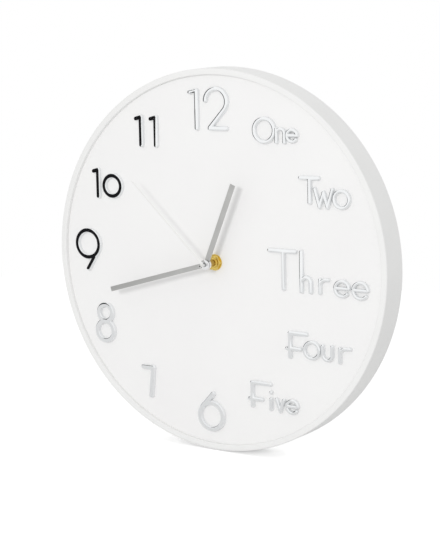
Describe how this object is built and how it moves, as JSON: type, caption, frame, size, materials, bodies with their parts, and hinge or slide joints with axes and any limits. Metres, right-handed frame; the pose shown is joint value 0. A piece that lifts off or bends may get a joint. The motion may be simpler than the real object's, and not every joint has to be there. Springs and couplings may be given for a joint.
{
  "type": "wall clock",
  "caption": "Round white wall clock: raised mirror numerals on the left of the dial, spelled hours on the right, slim silver hands and a battery quartz movement.",
  "frame": {"origin": "centre of the dial's front face, on the axis of the hands; it is also the centre of the whole clock's box", "axes": "+Z towards twelve o'clock, +X towards three o'clock, +Y towards the wall, so the clock faces -Y"},
  "size_m": [0.3062, 0.0438, 0.3062],
  "materials": {
    "case_plastic": "white moulded plastic, satin gloss",
    "dial_plastic": "white moulded plastic, fine matt",
    "mirror_acrylic": "silvered acrylic sheet with cut edges",
    "hand_metal": "satin silver",
    "hand_white": "white enamel",
    "brass": "turned and plated",
    "zinc_steel": "zinc plated",
    "black_plastic": "black moulded plastic, fine grain",
    "gear_plastic": "natural acetal",
    "bright_steel": "ground wire",
    "magnet": "sintered, dark",
    "copper": "enamelled copper wire",
    "board": "green laminate",
    "resin": "black resin",
    "contact_metal": "nickel plated spring steel",
    "cell_jacket": "plain printed jacket",
    "black_rubber": "soft moulded rubber"
  },
  "bodies": {
    "case": {"case_shell": "case_plastic", "dial_plate": "dial_plastic", "brass_washer": "brass", "hex_nut": "brass", "rubber_gasket": "black_rubber", "hanging_bracket": "zinc_steel", "threaded_bushing": "brass", "movement_housing": "black_plastic", "movement_cover": "black_plastic", "middle_plate": "black_plastic", "stator": "bright_steel", "coil_core": "bright_steel", "coil_bobbin": "gear_plastic", "coil_winding": "copper", "circuit_board": "board", "quartz_crystal": "contact_metal", "timing_chip": "resin", "positive_contact": "contact_metal", "negative_contact": "contact_metal", "numeral_12_one": "mirror_acrylic", "numeral_12_two": "mirror_acrylic", "numeral_11_left": "mirror_acrylic", "numeral_11_right": "mirror_acrylic", "numeral_10_one": "mirror_acrylic", "numeral_10_nought": "mirror_acrylic", "numeral_9": "mirror_acrylic", "numeral_8": "mirror_acrylic", "numeral_7": "mirror_acrylic", "numeral_6": "mirror_acrylic"},
    "hour_hand": {"hour_hand": "hand_metal", "hour_wheel": "gear_plastic"},
    "minute_hand": {"minute_hand": "hand_metal", "minute_arbor": "bright_steel", "cannon_pinion": "brass", "friction_spring": "contact_metal"},
    "second_hand": {"second_hand": "hand_white", "second_arbor": "bright_steel", "second_wheel": "gear_plastic"},
    "centre_wheel": {"centre_wheel": "gear_plastic"},
    "third_wheel": {"third_wheel": "gear_plastic"},
    "intermediate_wheel": {"intermediate_wheel": "gear_plastic"},
    "rotor": {"rotor_pinion": "gear_plastic", "rotor_magnet": "magnet"},
    "minute_wheel": {"minute_wheel": "gear_plastic"},
    "setting_knob": {"setting_shaft": "gear_plastic", "setting_knob": "black_plastic"},
    "battery": {"battery_cell": "cell_jacket"}
  },
  "joints": [
    {"name": "minute_turn", "type": "hinge", "parent": "case", "child": "minute_hand", "pos_m": [0, 0, 0], "axis": [0, 1, 0], "continuous": true},
    {"name": "hour_turn", "type": "hinge", "parent": "case", "child": "hour_hand", "pos_m": [0, 0, 0], "axis": [0, 1, 0], "continuous": true},
    {"name": "minute_wheel_turn", "type": "hinge", "parent": "case", "child": "minute_wheel", "pos_m": [0.00167, 0, 0.00945], "axis": [0, 1, 0], "continuous": true},
    {"name": "setting_turn", "type": "hinge", "parent": "case", "child": "setting_knob", "pos_m": [-0.00162, 0, 0.01848], "axis": [0, 1, 0], "continuous": true},
    {"name": "second_turn", "type": "hinge", "parent": "case", "child": "second_hand", "pos_m": [0, 0, 0], "axis": [0, 1, 0], "continuous": true},
    {"name": "third_wheel_turn", "type": "hinge", "parent": "case", "child": "third_wheel", "pos_m": [-0.01005, 0, 0.00177], "axis": [0, 1, 0], "continuous": true},
    {"name": "centre_wheel_turn", "type": "hinge", "parent": "case", "child": "centre_wheel", "pos_m": [0, 0, 0], "axis": [0, 1, 0], "continuous": true},
    {"name": "intermediate_turn", "type": "hinge", "parent": "case", "child": "intermediate_wheel", "pos_m": [0.00689, 0, -0.00122], "axis": [0, 1, 0], "continuous": true},
    {"name": "rotor_turn", "type": "hinge", "parent": "case", "child": "rotor", "pos_m": [0.01186, 0, 0.00059], "axis": [0, 1, 0], "continuous": true},
    {"name": "battery_out", "type": "slide", "parent": "case", "child": "battery", "axis": [0, 1, 0], "range_m": [0, 0.035]}
  ],
  "couplings": [
    {"joint": "minute_wheel_turn", "follows": "minute_turn", "ratio": -0.33333},
    {"joint": "hour_turn", "follows": "minute_turn", "ratio": 0.083333},
    {"joint": "setting_turn", "follows": "minute_turn", "ratio": 1},
    {"joint": "third_wheel_turn", "follows": "second_turn", "ratio": -0.13333},
    {"joint": "centre_wheel_turn", "follows": "second_turn", "ratio": 0.016667},
    {"joint": "intermediate_turn", "follows": "second_turn", "ratio": -6},
    {"joint": "rotor_turn", "follows": "second_turn", "ratio": 30}
  ]
}
